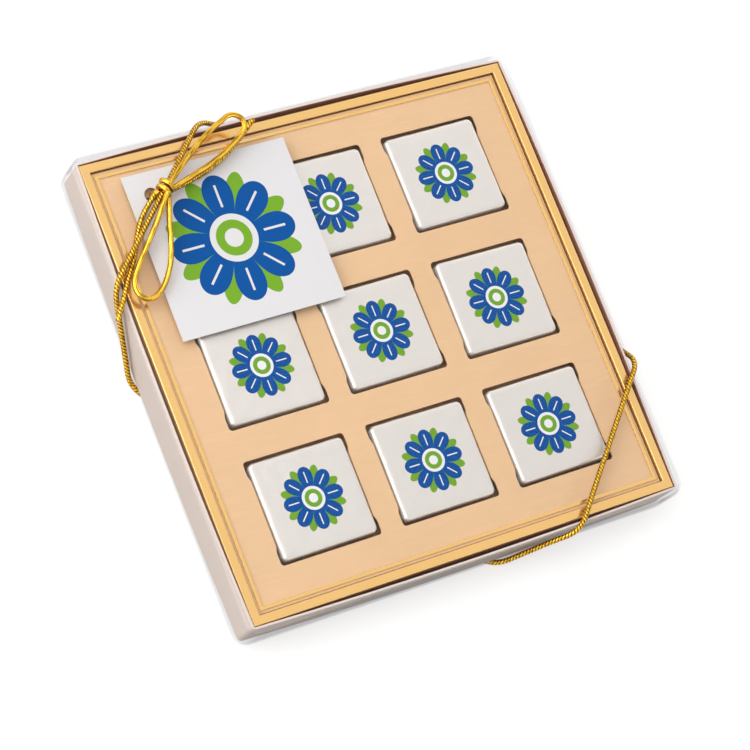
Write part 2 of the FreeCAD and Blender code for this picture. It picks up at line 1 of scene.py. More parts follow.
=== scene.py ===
import math

import bmesh
import bpy
import numpy as np
from bpy.props import FloatProperty, FloatVectorProperty, IntProperty, PointerProperty
from mathutils import Matrix, Vector


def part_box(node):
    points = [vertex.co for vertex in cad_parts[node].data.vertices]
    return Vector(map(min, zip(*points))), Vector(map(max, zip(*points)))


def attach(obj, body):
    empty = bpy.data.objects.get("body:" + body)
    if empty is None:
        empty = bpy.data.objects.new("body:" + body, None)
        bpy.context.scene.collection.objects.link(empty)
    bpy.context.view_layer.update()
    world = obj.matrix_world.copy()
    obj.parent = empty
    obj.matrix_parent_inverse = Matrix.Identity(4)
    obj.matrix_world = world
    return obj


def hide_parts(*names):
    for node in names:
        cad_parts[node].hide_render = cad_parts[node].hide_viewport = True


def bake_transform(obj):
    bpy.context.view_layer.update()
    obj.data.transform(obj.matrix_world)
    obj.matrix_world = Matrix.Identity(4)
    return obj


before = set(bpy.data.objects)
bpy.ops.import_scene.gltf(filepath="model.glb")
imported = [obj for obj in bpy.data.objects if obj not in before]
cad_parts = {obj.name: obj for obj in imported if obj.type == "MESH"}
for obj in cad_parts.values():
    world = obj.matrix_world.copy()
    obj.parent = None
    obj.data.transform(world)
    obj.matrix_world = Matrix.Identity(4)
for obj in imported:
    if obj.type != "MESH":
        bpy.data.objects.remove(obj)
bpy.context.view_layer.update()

bl_info = {
    "name": "Gift Box of Chocolate Squares",
    "version": (1, 0, 0),
    "blender": (4, 5, 0),
    "location": "3D View > Sidebar > Gift Box",
    "description": "Dresses a gift box in card, gold film, foil, a clear lid, a tag and gold cord",
    "category": "Object",
}

MM = 0.001
SQUARES = range(1, 10)
# Angles between faces: joined as one flat, rounded as an edge, and shaded smooth across
FLAT_ANGLE = math.radians(0.3)
EDGE_ANGLE = math.radians(40)
CARD_SMOOTH = math.radians(60)
FOIL_SMOOTH = math.radians(50)
LID_SMOOTH = math.radians(35)
# Points closer than this are one point
SAME_PLACE = 0.001 * MM
# A face is a wall where its normal rises less than this, and level where it rises more
WALL = 0.5


def linear(hex_colour):
    """An sRGB hex value as linear red, green, blue and alpha."""
    channels = [int(hex_colour[i : i + 2], 16) / 255 for i in (0, 2, 4)]
    return (*(c / 12.92 if c <= 0.04045 else ((c + 0.055) / 1.055) ** 2.4 for c in channels), 1.0)


def colour(name, description, hex_colour):
    """A colour that the panel shows."""
    return FloatVectorProperty(
        name=name, description=description, default=linear(hex_colour), subtype="COLOR", size=4, min=0, max=1
    )


def length(name, description, millimetres):
    """A size that the panel shows."""
    return FloatProperty(name=name, description=description, default=millimetres * MM, unit="LENGTH")


def angle(name, description, degrees):
    """A direction that the panel shows."""
    return FloatProperty(name=name, description=description, default=math.radians(degrees), subtype="ANGLE")


def power(name, description, watts):
    """A lamp's power that the panel shows."""
    return FloatProperty(name=name, description=description, default=watts, unit="POWER")


def level(name, description, value):
    """A light level that the panel shows, where 1 is white."""
    return FloatProperty(name=name, description=description, default=value, min=0, max=1, subtype="FACTOR")


class GiftBoxColours(bpy.types.PropertyGroup):
    """Colours of the box's materials."""

    tray_card: colour("Tray card", "Ivory face of the folded card tray", "F0E0D2")
    # Painted shade: a brown for the tray's inner walls and floor, so that the gap beside the frame reads dark
    inner_shade_brown: colour("Lining", "Brown inside of the tray's card", "A87862")
    gold: colour("Gold film", "Gold film on the frame and the stamped border", "FACB7E")
    card: colour("Tan card", "Uncoated card of the pocket insert", "F3C999")
    deck: colour("Deck card", "Raw brown card of the riser deck", "D8B48E")
    foil: colour("Foil", "Aluminium foil round each square", "DED8CF")
    tag: colour("Tag card", "Coated white card of the tag", "E0DEDF")
    chocolate: colour("Chocolate", "Milk chocolate", "B27C60")
    cord: colour("Cord", "Metallised yarn of the gold cord", "FAC443")
    cord_groove: colour("Cord grooves", "Shade between the yarns", "422502")
    ink_blue: colour("Blue ink", "Petals of the printed blossom", "00509A")
    ink_green: colour("Green ink", "Leaves of the printed blossom", "76A92C")


class GiftBoxSizes(bpy.types.PropertyGroup):
    """Small sizes that the finish adds to the solids."""

    card_edge: length("Card edge", "Rounding of cut and folded card", 0.08)
    tray_edge: length("Tray edge", "Rounding of the tray's thick card", 0.2)
    foil_corner: length("Foil corner", "Upright corner radius of a wrapped square", 1.8)
    foil_edge: length("Foil edge", "Radius round the top of a wrapped square", 1.0)
    foil_crumple: length("Foil crumple", "Height of the dents in the foil", 0.22)
    square_print: length("Print on squares", "Radius of the blossom on each square", 11.0)
    tag_print: length("Print on tag", "Radius of the blossom on the tag", 23.0)
    cord: length("Cord", "Diameter of the gold cord", 1.8)
    cord_steps: IntProperty(
        name="Cord steps", description="Rings between two points of a cord's route", default=10, min=2
    )


class GiftBoxStage(bpy.types.PropertyGroup):
    """Camera, lamps and floor."""

    camera_place: FloatVectorProperty(
        name="Camera", description="Where the camera stands", default=(-0.3974, -0.1787, 0.8123),
        subtype="TRANSLATION",
    )
    azimuth: angle("Azimuth", "Direction of the camera from the box", -157.007)
    elevation: angle("Elevation", "Height of the camera over the box", 62.038)
    roll: angle("Roll", "Turn of the picture about the line of sight", -47.752)
    lens: FloatProperty(name="Lens", description="Focal length in mm on a 36 mm wide sensor", default=133.7)
    zenith: level("Zenith", "Light from straight above", 0.45)
    horizon: level("Horizon", "Light from the sides", 0.32)
    floor_lift: level("Floor", "Light that the floor adds for the eye alone, so that it is white", 0.58)
    key_power: power("Key lamp", "Softbox above", 5.55)
    left_power: power("Left lamp", "Softbox at the left", 5.7)
    back_power: power("Back lamp", "Softbox behind", 2.7)
    front_power: power("Front lamp", "Strip at the front", 0.7)


def add(tree, kind, inputs=(), **settings):
    """Adds a node with its settings and its inputs, by socket name or number.

    A node that is given as an input stands for its first output. A MapRange takes from low, from high, to
    low and to high as 1 to 4, and a Mix of colours takes the share as 0 and the colours as 6 and 7.
    """
    node = tree.nodes.new(f"ShaderNode{kind}")
    for name, value in settings.items():
        setattr(node, name, value)
    pairs = inputs.items() if isinstance(inputs, dict) else enumerate(inputs)
    for key, value in pairs:
        if isinstance(value, bpy.types.Node):
            value = value.outputs[0]
        if isinstance(value, bpy.types.NodeSocket):
            tree.links.new(value, node.inputs[key])
        else:
            node.inputs[key].default_value = value
    return node


def blank_material(name):
    """A new material with an empty node tree."""
    material = bpy.data.materials.new(name)
    material.use_nodes = True
    material.node_tree.nodes.clear()
    return material, material.node_tree


def in_mm(tree):
    """The piece's own coordinates in millimetres."""
    place = add(tree, "TexCoord").outputs["Object"]
    return add(tree, "VectorMath", {0: place, "Scale": 1 / MM}, operation="SCALE")


def facing_up(tree):
    """How far a face looks up: 1 on a level face, 0 on a wall and less where it looks down."""
    return add(tree, "SeparateXYZ", (add(tree, "NewGeometry").outputs["True Normal"],)).outputs["Z"]


def seen_directly(tree):
    """1 for rays that bring this to the eye, also by a mirror, and 0 for rays that light the box."""
    rays = add(tree, "LightPath").outputs
    seen = add(tree, "Math", (rays["Is Camera Ray"], rays["Is Glossy Ray"]), operation="MAXIMUM")
    return add(tree, "Math", (seen, rays["Is Transmission Ray"]), operation="MAXIMUM")


def folding_box_card(name, face_colour):
    """Folding box card: short soft fibres, slow clouds in the tone and a low sheen."""
    material, tree = blank_material(name)
    place = in_mm(tree)
    # Fibres are 0.1 mm wide and are drawn at about 0.5 mm, so that they show. Clouds are about 8 mm wide
    fibres = add(tree, "TexNoise", {"Vector": place, "Scale": 2.0, "Detail": 4.0, "Roughness": 0.6})
    clouds = add(tree, "TexNoise", {"Vector": place, "Scale": 0.12, "Detail": 2.0})
    shade = add(tree, "MapRange", {0: fibres, 3: 0.95, 4: 1.03})
    drift = add(tree, "MapRange", {0: clouds, 3: 0.97, 4: 1.02})
    tone = add(tree, "Math", (shade, drift), operation="MULTIPLY")
    toned = add(tree, "VectorMath", {0: face_colour[:3], "Scale": tone}, operation="SCALE")
    dull = add(tree, "MapRange", {0: fibres, 3: 0.42, 4: 0.6})
    relief = add(tree, "Bump", {"Height": fibres, "Strength": 0.12, "Distance": 0.05 * MM})
    surface = {"Base Color": toned, "Roughness": dull, "Normal": relief, "IOR": 1.47}
    shader = add(tree, "BsdfPrincipled", {**surface, "Specular IOR Level": 0.15})
    add(tree, "OutputMaterial", (shader,))
    return material


def gold_film_on_card(colours):
    """Card laminated with metallised film: a satin mirror with a faint waviness and cloudy dull patches."""
    material, tree = blank_material("gold_film_on_card")
    place = in_mm(tree)
    # Waves about 12 mm long and dull patches about 5 mm wide
    waves = add(tree, "TexNoise", {"Vector": place, "Scale": 0.08, "Detail": 2.0})
    patches = add(tree, "TexNoise", {"Vector": place, "Scale": 0.2, "Detail": 3.0})
    shade = add(tree, "MapRange", {0: waves, 3: 0.96, 4: 1.04})
    # Painted shade: the film is darker on the walls and where it turns down at a fold
    fold = add(tree, "MapRange", {0: facing_up(tree), 1: 0.5, 2: 0.97, 3: 0.6, 4: 1.0})
    shade = add(tree, "Math", (shade, fold), operation="MULTIPLY")
    toned = add(tree, "VectorMath", {0: colours.gold[:3], "Scale": shade}, operation="SCALE")
    dull = add(tree, "MapRange", {0: patches, 3: 0.13, 4: 0.21})
    relief = add(tree, "Bump", {"Height": waves, "Strength": 0.05, "Distance": 0.1 * MM})
    shader = add(
        tree, "BsdfPrincipled", {"Base Color": toned, "Metallic": 0.82, "Roughness": dull, "Normal": relief}
    )
    add(tree, "OutputMaterial", (shader,))
    return material


def uncoated_tan_card(colours):
    """Uncoated dyed card: matt, with long pale fibres that lie one way and small flecks."""
    material, tree = blank_material("uncoated_tan_card")
    place = in_mm(tree)
    # Fibres are 0.05 mm wide and are drawn about 0.4 mm wide and 8 mm long, so that they show. Clouds are
    # about 20 mm wide, and flecks about 1.7 mm apart
    along = add(tree, "Mapping", {"Vector": place, "Scale": (0.12, 2.6, 1.0)})
    fibres = add(tree, "TexNoise", {"Vector": along, "Scale": 1.0, "Detail": 5.0, "Roughness": 0.65})
    clouds = add(tree, "TexNoise", {"Vector": place, "Scale": 0.05, "Detail": 3.0})
    flecks = add(tree, "TexVoronoi", {"Vector": place, "Scale": 0.6})
    shade = add(tree, "MapRange", {0: fibres, 1: 0.25, 2: 0.75, 3: 0.93, 4: 1.05})
    drift = add(tree, "MapRange", {0: clouds, 1: 0.3, 2: 0.7, 3: 0.98, 4: 1.02})
    fleck = add(tree, "MapRange", {0: flecks, 1: 0.02, 2: 0.08, 3: 0.93, 4: 1.0})
    tone = add(tree, "Math", (shade, drift), operation="MULTIPLY")
    tone = add(tree, "Math", (tone, fleck), operation="MULTIPLY")
    toned = add(tree, "VectorMath", {0: colours.card[:3], "Scale": tone}, operation="SCALE")
    dull = add(tree, "MapRange", {0: fibres, 3: 0.62, 4: 0.82})
    relief = add(tree, "Bump", {"Height": fibres, "Strength": 0.15, "Distance": 0.05 * MM})
    shader = add(
        tree, "BsdfPrincipled", {"Base Color": toned, "Roughness": dull, "Normal": relief, "IOR": 1.46}
    )
    add(tree, "OutputMaterial", (shader,))
    return material


def raw_brown_card(colours):
    """Unbleached card: dull and mottled with dark and pale fibre clumps."""
    material, tree = blank_material("raw_brown_card")
    place = in_mm(tree)
    # Clumps about 1.1 mm wide
    clumps = add(tree, "TexNoise", {"Vector": place, "Scale": 0.9, "Detail": 5.0, "Roughness": 0.7})
    tone = add(tree, "MapRange", {0: clumps, 3: 0.8, 4: 1.15})
    toned = add(tree, "VectorMath", {0: colours.deck[:3], "Scale": tone}, operation="SCALE")
    dull = add(tree, "MapRange", {0: clumps, 3: 0.78, 4: 0.92})
    relief = add(tree, "Bump", {"Height": clumps, "Strength": 0.3, "Distance": 0.08 * MM})
    shader = add(
        tree, "BsdfPrincipled", {"Base Color": toned, "Roughness": dull, "Normal": relief, "IOR": 1.46}
    )
    add(tree, "OutputMaterial", (shader,))
    return material


def clear_thermoformed_pet():
    """Thin clear PET drawn over a mould: hardly seen from above, with glints and faint lines on its walls."""
    material, tree = blank_material("clear_thermoformed_pet")
    place = in_mm(tree)
    # Drawing lines about 7 mm apart, which run down the walls
    pull = add(tree, "Mapping", {"Vector": place, "Scale": (0.15, 0.15, 0.03)})
    lines = add(tree, "TexNoise", {"Vector": pull, "Scale": 1.0, "Detail": 2.0})
    relief = add(tree, "Bump", {"Height": lines, "Strength": 0.12, "Distance": 0.2 * MM})
    dull = add(tree, "MapRange", {0: lines, 3: 0.03, 4: 0.08})
    mirror = add(tree, "BsdfGlossy", {"Color": (1, 1, 1, 1), "Roughness": dull, "Normal": relief})
    # Seen edge on, a sheet lets less light through, and here it turns grey: painted shade on what lies behind
    # it
    slant = add(tree, "Math", (add(tree, "LayerWeight").outputs["Facing"], 4.0), operation="POWER")
    clear, grey = linear("FDFDFE"), linear("CBC9CA")
    tint = add(tree, "Mix", {0: slant, 6: clear, 7: grey}, data_type="RGBA").outputs[2]
    through = add(tree, "BsdfTransparent", {"Color": tint})
    # Light that leaves the sheet goes straight on, because a thin sheet doesn't trap it
    front = add(tree, "Math", (1.0, add(tree, "NewGeometry").outputs["Backfacing"]), operation="SUBTRACT")
    # A fifth of the mirror image is kept, because the surroundings are white all round
    front = add(tree, "Math", (front, 0.2), operation="MULTIPLY")
    gloss = add(tree, "Fresnel", {"IOR": 1.57, "Normal": relief})
    share = add(tree, "Math", (gloss, front), operation="MULTIPLY")
    shader = add(tree, "MixShader", (share, through, mirror))
    add(tree, "OutputMaterial", (shader,))
    return material


def blossom(tree, place, radius, paper, colours):
    """A printed blossom of eight petals over eight leaves. Gives its colour and where it covers.

    Its numbers are shares of the print's radius.
    """
    unit = add(tree, "VectorMath", {0: place, "Scale": MM / radius}, operation="SCALE")
    reach = add(tree, "VectorMath", (unit,), operation="LENGTH").outputs["Value"]
    turn = add(tree, "TexGradient", (unit,), gradient_type="RADIAL").outputs["Fac"]
    swing = add(tree, "Math", (turn, 4 * math.tau), operation="MULTIPLY")
    petals, leaves = (
        add(tree, "Math", (add(tree, "Math", (swing,), operation=wave),), operation="ABSOLUTE")
        for wave in ("COSINE", "SINE")
    )
    # A low power makes a petal broad and round, and a high one makes a leaf pointed
    broad = add(tree, "Math", (petals, 0.4), operation="POWER")
    petal = add(tree, "Math", (broad, 0.62, 0.34), operation="MULTIPLY_ADD")
    pointed = add(tree, "Math", (leaves, 1.4), operation="POWER")
    leaf = add(tree, "Math", (pointed, 0.62, 0.38), operation="MULTIPLY_ADD")
    aside = add(tree, "Math", (reach, leaves), operation="MULTIPLY")
    vein = add(tree, "Math", (aside, 0.07), operation="LESS_THAN")
    span = add(tree, "Math", (reach, 0.64, 0.17), operation="COMPARE")
    edge = add(tree, "Math", (petal, leaf), operation="MAXIMUM")
    cover = add(tree, "Math", (reach, edge), operation="LESS_THAN")
    layers = [
        (cover, colours.ink_green),
        (add(tree, "Math", (reach, petal), operation="LESS_THAN"), colours.ink_blue),
        (add(tree, "Math", (vein, span), operation="MULTIPLY"), paper),
        (add(tree, "Math", (reach, 0.36), operation="LESS_THAN"), paper),
        (add(tree, "Math", (reach, 0.27), operation="LESS_THAN"), colours.ink_green),
        (add(tree, "Math", (reach, 0.14), operation="LESS_THAN"), paper),
    ]
    ink = paper
    for mask, tint in layers:
        ink = add(tree, "Mix", {0: mask, 6: ink, 7: tint}, data_type="RGBA").outputs[2]
    return ink, cover


def printed_aluminium_foil(colours, sizes):
    """Soft aluminium foil, matt side out, printed on top: pale satin grey with dents and folds that glint."""
    material, tree = blank_material("printed_aluminium_foil")
    place = in_mm(tree)
    flat = add(tree, "UVMap", uv_map="print")
    ink, cover = blossom(tree, flat, sizes.square_print, linear("F4F4F2"), colours)
    # Dents about 3 mm wide, creases about 3.5 mm apart and a rolled grain of about 0.25 mm
    dents = add(tree, "TexNoise", {"Vector": place, "Scale": 0.35, "Detail": 3.0, "Roughness": 0.55})
    creases = add(tree, "TexVoronoi", {"Vector": place, "Scale": 0.28}, feature="DISTANCE_TO_EDGE")
    crease = add(tree, "MapRange", {0: creases, 1: 0.0, 2: 0.05, 3: 0.0, 4: 1.0})
    grain = add(tree, "TexNoise", {"Vector": place, "Scale": 4.0, "Detail": 2.0})
    # The ends are folded like a parcel's, so two slanting edges meet the foot of each end. In mm from the
    # square's middle: where a flap's edge starts, where it lies flat, and where the end's face begins
    local = add(tree, "SeparateXYZ", (flat,))
    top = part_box("foil_wrap_5")[1][2] / MM
    drop = add(tree, "Math", (top, add(tree, "SeparateXYZ", (place,)).outputs["Z"]), operation="SUBTRACT")
    side = add(tree, "Math", (local.outputs["Y"],), operation="ABSOLUTE")
    fold = add(tree, "Math", (side, drop), operation="ADD")
    flap_edge, flap_flat, end_face = 15.6, 16.0, 16.6
    flap = add(tree, "MapRange", {0: fold, 1: flap_edge, 2: flap_flat, 3: 0.0, 4: 1.0})
    reach = add(tree, "Math", (local.outputs["X"],), operation="ABSOLUTE")
    end = add(tree, "Math", (reach, end_face), operation="GREATER_THAN")
    flap = add(tree, "Math", (flap, end), operation="MULTIPLY")
    height = add(tree, "Math", (crease, 0.12, dents), operation="MULTIPLY_ADD")
    height = add(tree, "Math", (flap, 0.8, height), operation="MULTIPLY_ADD")
    relief = add(tree, "Bump", {"Height": height, "Strength": 0.3, "Distance": 0.3 * MM})
    shade = add(tree, "MapRange", {0: grain, 3: 0.97, 4: 1.03})
    bare = add(tree, "VectorMath", {0: colours.foil[:3], "Scale": shade}, operation="SCALE")
    base = add(tree, "Mix", {0: cover, 6: bare, 7: ink}, data_type="RGBA").outputs[2]
    metal = add(tree, "MapRange", {0: cover, 3: 0.8, 4: 0.0})
    # The foil is gathered in fine folds down the sides, which scatter the light
    smooth = add(tree, "MapRange", {0: facing_up(tree), 1: 0.1, 2: 0.7, 3: 0.25, 4: 1.0})
    metal = add(tree, "Math", (metal, smooth), operation="MULTIPLY")
    dull = add(tree, "MapRange", {0: grain, 3: 0.36, 4: 0.46})
    surface = {"Base Color": base, "Metallic": metal, "Roughness": dull, "Normal": relief}
    shader = add(tree, "BsdfPrincipled", {**surface, "Specular IOR Level": 0.15})
    add(tree, "OutputMaterial", (shader,))
    return material


def coated_tag_card(colours, sizes):
    """Clay-coated white card, offset printed: smooth, a soft gloss, ink a little glossier than the card."""
    material, tree = blank_material("coated_tag_card")
    place = in_mm(tree)
    flat = add(tree, "UVMap", uv_map="print")
    ink, cover = blossom(tree, flat, sizes.tag_print, colours.tag, colours)
    # The print is on the upper face alone
    skin = 0.02
    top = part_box("gift_tag")[1][2] / MM
    rise = add(tree, "SeparateXYZ", (place,)).outputs["Z"]
    face = add(tree, "Math", (rise, top - skin), operation="GREATER_THAN")
    cover = add(tree, "Math", (cover, face), operation="MULTIPLY")
    # Mottle about 0.8 mm wide
    mottle = add(tree, "TexNoise", {"Vector": place, "Scale": 1.2, "Detail": 3.0})
    shade = add(tree, "MapRange", {0: mottle, 3: 0.975, 4: 1.02})
    base = add(tree, "Mix", {0: cover, 6: colours.tag, 7: ink}, data_type="RGBA").outputs[2]
    toned = add(tree, "VectorMath", {0: base, "Scale": shade}, operation="SCALE")
    dull = add(tree, "MapRange", {0: mottle, 3: 0.38, 4: 0.5})
    relief = add(tree, "Bump", {"Height": mottle, "Strength": 0.06, "Distance": 0.05 * MM})
    surface = {"Base Color": toned, "Roughness": dull, "Normal": relief, "IOR": 1.5}
    shader = add(tree, "BsdfPrincipled", {**surface, "Specular IOR Level": 0.15})
    add(tree, "OutputMaterial", (shader,))
    return material


def milk_chocolate(colours):
    """Moulded milk chocolate: a soft satin skin over fine slanting ribs from the mould."""
    material, tree = blank_material("milk_chocolate")
    place = in_mm(tree)
    # Ribs about 1.3 mm apart and a bloom in patches of about 2 mm
    wave = {"Vector": place, "Scale": 0.35, "Distortion": 0.2}
    ribs = add(tree, "TexWave", wave, bands_direction="DIAGONAL")
    bloom = add(tree, "TexNoise", {"Vector": place, "Scale": 0.5, "Detail": 3.0})
    tone = add(tree, "MapRange", {0: bloom, 3: 0.93, 4: 1.06})
    toned = add(tree, "VectorMath", {0: colours.chocolate[:3], "Scale": tone}, operation="SCALE")
    dull = add(tree, "MapRange", {0: bloom, 3: 0.35, 4: 0.5})
    relief = add(tree, "Bump", {"Height": ribs, "Strength": 0.3, "Distance": 0.15 * MM})
    shader = add(
        tree, "BsdfPrincipled", {"Base Color": toned, "Roughness": dull, "Normal": relief, "IOR": 1.5}
    )
    add(tree, "OutputMaterial", (shader,))
    return material


def metallised_cord(name, colours, yarn, depth, gloss, breaks):
    """Rubber core wound over with metallised yarn: bright gold yarns with painted shade in the grooves
    between them.

    yarn is the step from one yarn to the next along the cord in mm, depth how deep the grooves look in bump
    and painted shade, gloss the least roughness, and breaks how often in a mm the painted glint of a thread
    breaks.
    """
    material, tree = blank_material(name)
    flat = add(tree, "UVMap", uv_map="UVMap")
    along, around, _ = add(tree, "SeparateXYZ", (flat,)).outputs
    # Three yarns wind side by side round the core, so that they slant along the cord. Real ones are about
    # 0.4 mm wide and these are drawn wider, so that they show
    lean = add(tree, "Math", (around, 3 * math.pi), operation="MULTIPLY")
    phase = add(tree, "Math", (along, math.pi / yarn, lean), operation="MULTIPLY_ADD")
    wound = add(tree, "Math", (add(tree, "Math", (phase,), operation="SINE"),), operation="ABSOLUTE")
    streak = add(tree, "Mapping", {"Vector": flat, "Scale": (breaks, 9.0, 1.0)})
    threads = add(tree, "TexNoise", {"Vector": streak, "Scale": 1.0, "Detail": 3.0})
    # Painted shade in the grooves between the yarns
    groove_shade = add(tree, "MapRange", {0: wound, 1: 0.3, 2: 0.95, 3: 1.0 - depth, 4: 1.0})
    # Painted glints, which break along each thread
    thread_glint = add(tree, "MapRange", {0: threads, 1: 0.38, 2: 0.55, 3: 0.3, 4: 1.0})
    light = add(tree, "Math", (groove_shade, thread_glint), operation="MULTIPLY")
    dark, bright = colours.cord_groove, colours.cord
    base = add(tree, "Mix", {0: light, 6: dark, 7: bright}, data_type="RGBA").outputs[2]
    dull = add(tree, "MapRange", {0: threads, 3: gloss, 4: gloss + 0.15})
    relief = add(tree, "Bump", {"Height": wound, "Strength": depth, "Distance": 0.12 * MM})
    shader = add(
        tree, "BsdfPrincipled", {"Base Color": base, "Metallic": 1.0, "Roughness": dull, "Normal": relief}
    )
    add(tree, "OutputMaterial", (shader,))
    return material


def pick(piece):
    """Leaves object mode with only this piece selected and active."""
    if bpy.context.object and bpy.context.object.mode != "OBJECT":
        bpy.ops.object.mode_set(mode="OBJECT")
    bpy.ops.object.select_all(action="DESELECT")
    piece.select_set(True)
    bpy.context.view_layer.objects.active = piece


def pick_edges(piece, wanted):
    """In edit mode, selects the edges that the test wants."""
    bpy.ops.mesh.select_mode(type="EDGE")
    bpy.ops.mesh.select_all(action="DESELECT")
    mesh = bmesh.from_edit_mesh(piece.data)
    for edge in mesh.edges:
        if wanted(edge):
            edge.select_set(True)
    bmesh.update_edit_mesh(piece.data)


def merged_copy(node, name):
    """A new piece from a CAD node's mesh, its triangles merged and its flat faces joined."""
    piece = bpy.data.objects.new(name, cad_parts[node].data.copy())
    bpy.context.scene.collection.objects.link(piece)
    piece.data.materials.clear()
    pick(piece)
    bpy.ops.object.mode_set(mode="EDIT")
    bpy.ops.mesh.select_all(action="SELECT")
    bpy.ops.mesh.remove_doubles(threshold=SAME_PLACE)
    bpy.ops.mesh.dissolve_limited(angle_limit=FLAT_ANGLE)
    bpy.ops.mesh.customdata_custom_splitnormals_clear()
    bpy.ops.object.mode_set(mode="OBJECT")
    return piece


def finish_with(piece, kind, **settings):
    """Adds a modifier and applies it."""
    pick(piece)
    modifier = piece.modifiers.new(kind.lower(), kind)
    for name, value in settings.items():
        setattr(modifier, name, value)
    bpy.ops.object.modifier_apply(modifier=modifier.name)


def round_edges(piece, width, segments=2):
    """Rounds every sharp edge and shades the flats flat."""
    finish_with(
        piece, "BEVEL", limit_method="ANGLE", angle_limit=EDGE_ANGLE, width=width, segments=segments,
        use_clamp_overlap=True,
    )
    pick(piece)
    bpy.ops.object.shade_smooth_by_angle(angle=CARD_SMOOTH)
    finish_with(piece, "WEIGHTED_NORMAL", weight=100, keep_sharp=True)


def outward(face):
    """Above 0 where a face looks away from the box's middle, and below 0 where it looks towards it."""
    return face.normal.x * face.center.x + face.normal.y * face.center.y


def print_map(piece, middle):
    """A UV map in millimetres, seen from above and centred on a point."""
    places = np.empty(len(piece.data.vertices) * 3)
    piece.data.vertices.foreach_get("co", places)
    corners = np.empty(len(piece.data.loops), dtype=int)
    piece.data.loops.foreach_get("vertex_index", corners)
    flat = (places.reshape(-1, 3)[corners][:, :2] - np.array(middle[:2])) / MM
    piece.data.uv_layers.new(name="print").data.foreach_set("uv", flat.ravel())


def dress(piece, body, slot, material, *nodes):
    """Puts a finished piece in the place of its CAD nodes."""
    piece.data.materials.append(material)
    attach(piece, body)
    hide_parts(*nodes)


def repaint(node, material):
    """Gives a CAD node that keeps its shape a finer material."""
    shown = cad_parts[node]
    for slot in shown.material_slots:
        slot.material = material


def cord_tube(name, route, diameter, steps, closed=False):
    """A tube of cord on a smooth line along the route, with a UV map of its length in mm and its turn."""
    line = bpy.data.curves.new(name, "CURVE")
    line.dimensions = "3D"
    spline = line.splines.new("NURBS")
    spline.points.add(len(route) - 1)
    for point, place in zip(spline.points, route):
        point.co = (*(value * MM for value in place), 1.0)
    spline.order_u = 3
    spline.use_endpoint_u = not closed
    spline.use_cyclic_u = closed
    spline.resolution_u = steps
    piece = bpy.data.objects.new(name, line)
    bpy.context.scene.collection.objects.link(piece)
    middle = bpy.data.meshes.new_from_object(piece)
    path = [vertex.co.copy() for vertex in middle.vertices]
    bpy.data.meshes.remove(middle)
    line.bevel_depth = diameter / 2
    line.bevel_resolution = 4
    line.use_fill_caps = not closed
    pick(piece)
    bpy.ops.object.convert(target="MESH")
    bpy.ops.object.shade_smooth()
    piece = bpy.context.object
    ends = path[1:] + path[:1] if closed else path[1:]
    runs = [0.0, *((b - a).length / MM for a, b in zip(path, ends))]
    lengths = np.cumsum(runs)
    layer = piece.data.uv_layers[0]
    flat = np.empty(len(layer.data) * 2)
    layer.data.foreach_get("uv", flat)
    flat = flat.reshape(-1, 2)
    flat[:, 0] = lengths[np.rint(flat[:, 0] * (len(lengths) - 1)).astype(int)]
    layer.data.foreach_set("uv", flat.ravel())
    return piece, path


# The elastic, once round, in millimetres: under the tray, up the left wall, under the knot, down the back,
# under the tray again, and back over the opposite corner
ELASTIC = [
    (-34.6, -37.6, 0.7),
    (-75.3, 0.6, 0.7),
    (-83.2, 8.0, 0.7),
    (-83.2, 17.1, 6.5),
    (-83.2, 27.4, 13.2),
    (-83.2, 36.5, 19.0),
    (-75.6, 44.0, 20.4),
    (-59.9, 59.6, 23.4),
    (-53.9, 65.2, 23.4),
    (-42.9, 75.8, 20.8),
    (-35.4, 83.3, 18.7),
    (-26.7, 82.9, 12.3),
    (-20.5, 82.9, 7.4),
    (-12.0, 82.9, 0.7),
    (-4.6, 75.2, 0.7),
    (35.6, 33.2, 0.7),
    (75.4, -9.3, 0.7),
    (82.9, -17.0, 0.7),
    (82.9, -23.0, 6.7),
    (82.9, -29.3, 13.0),
    (83.3, -35.4, 18.9),
    (75.8, -43.0, 19.0),
    (46.2, -75.0, 19.0),
    (38.8, -83.4, 18.9),
    (30.1, -82.9, 12.6),
    (22.7, -82.9, 7.1),
    (14.0, -82.9, 0.7),
    (6.1, -75.8, 0.7),
]
# The knot winds round the elastic: its middle, direction in degrees, radius, way per turn in millimetres,
# number of turns, and the angles in degrees where it starts and between its points
KNOT = Vector((-56.9, 62.4, 23.4))
KNOT_ANGLE = 43.7
KNOT_RING = 2.1
KNOT_PITCH = 2.3
KNOT_TURNS = 2
KNOT_START = 200
KNOT_STEP = 20
# The bow's cords from the knot's middle, in millimetres. A loop goes back into the knot.
UPPER_LOOP = [
    (1.4, 0.8, 2.1),
    (9.3, 6.9, 1.8),
    (18.1, 13.0, 1.5),
    (25.7, 16.8, 1.6),
    (30.6, 18.9, 1.8),
    (34.3, 16.6, 1.4),
    (34.0, 12.5, 0.7),
    (26.9, 8.3, -0.1),
    (19.0, 4.7, -0.5),
    (10.9, 2.1, -0.2),
    (2.2, -0.6, 0.7),
]
LOWER_LOOP = [
    (0.1, -1.4, 1.8),
    (-6.0, -9.2, 0.6),
    (-12.7, -16.9, -1.6),
    (-18.2, -23.1, -2.6),
    (-20.4, -27.4, -2.8),
    (-19.9, -31.1, -2.9),
    (-17.0, -33.2, -3.0),
    (-13.1, -31.9, -3.0),
    (-9.3, -28.3, -2.6),
    (-5.5, -22.2, -1.9),
    (-3.3, -14.7, -0.9),
    (-1.5, -8.0, -0.2),
    (0.5, -2.4, 0.0),
]
UPPER_TAIL = [
    (1.7, -0.6, -1.4),
    (10.5, 1.3, -2.6),
    (19.3, 4.0, -3.1),
    (27.0, 7.7, -2.9),
    (33.3, 12.0, -1.9),
    (38.5, 15.8, -0.7),
]
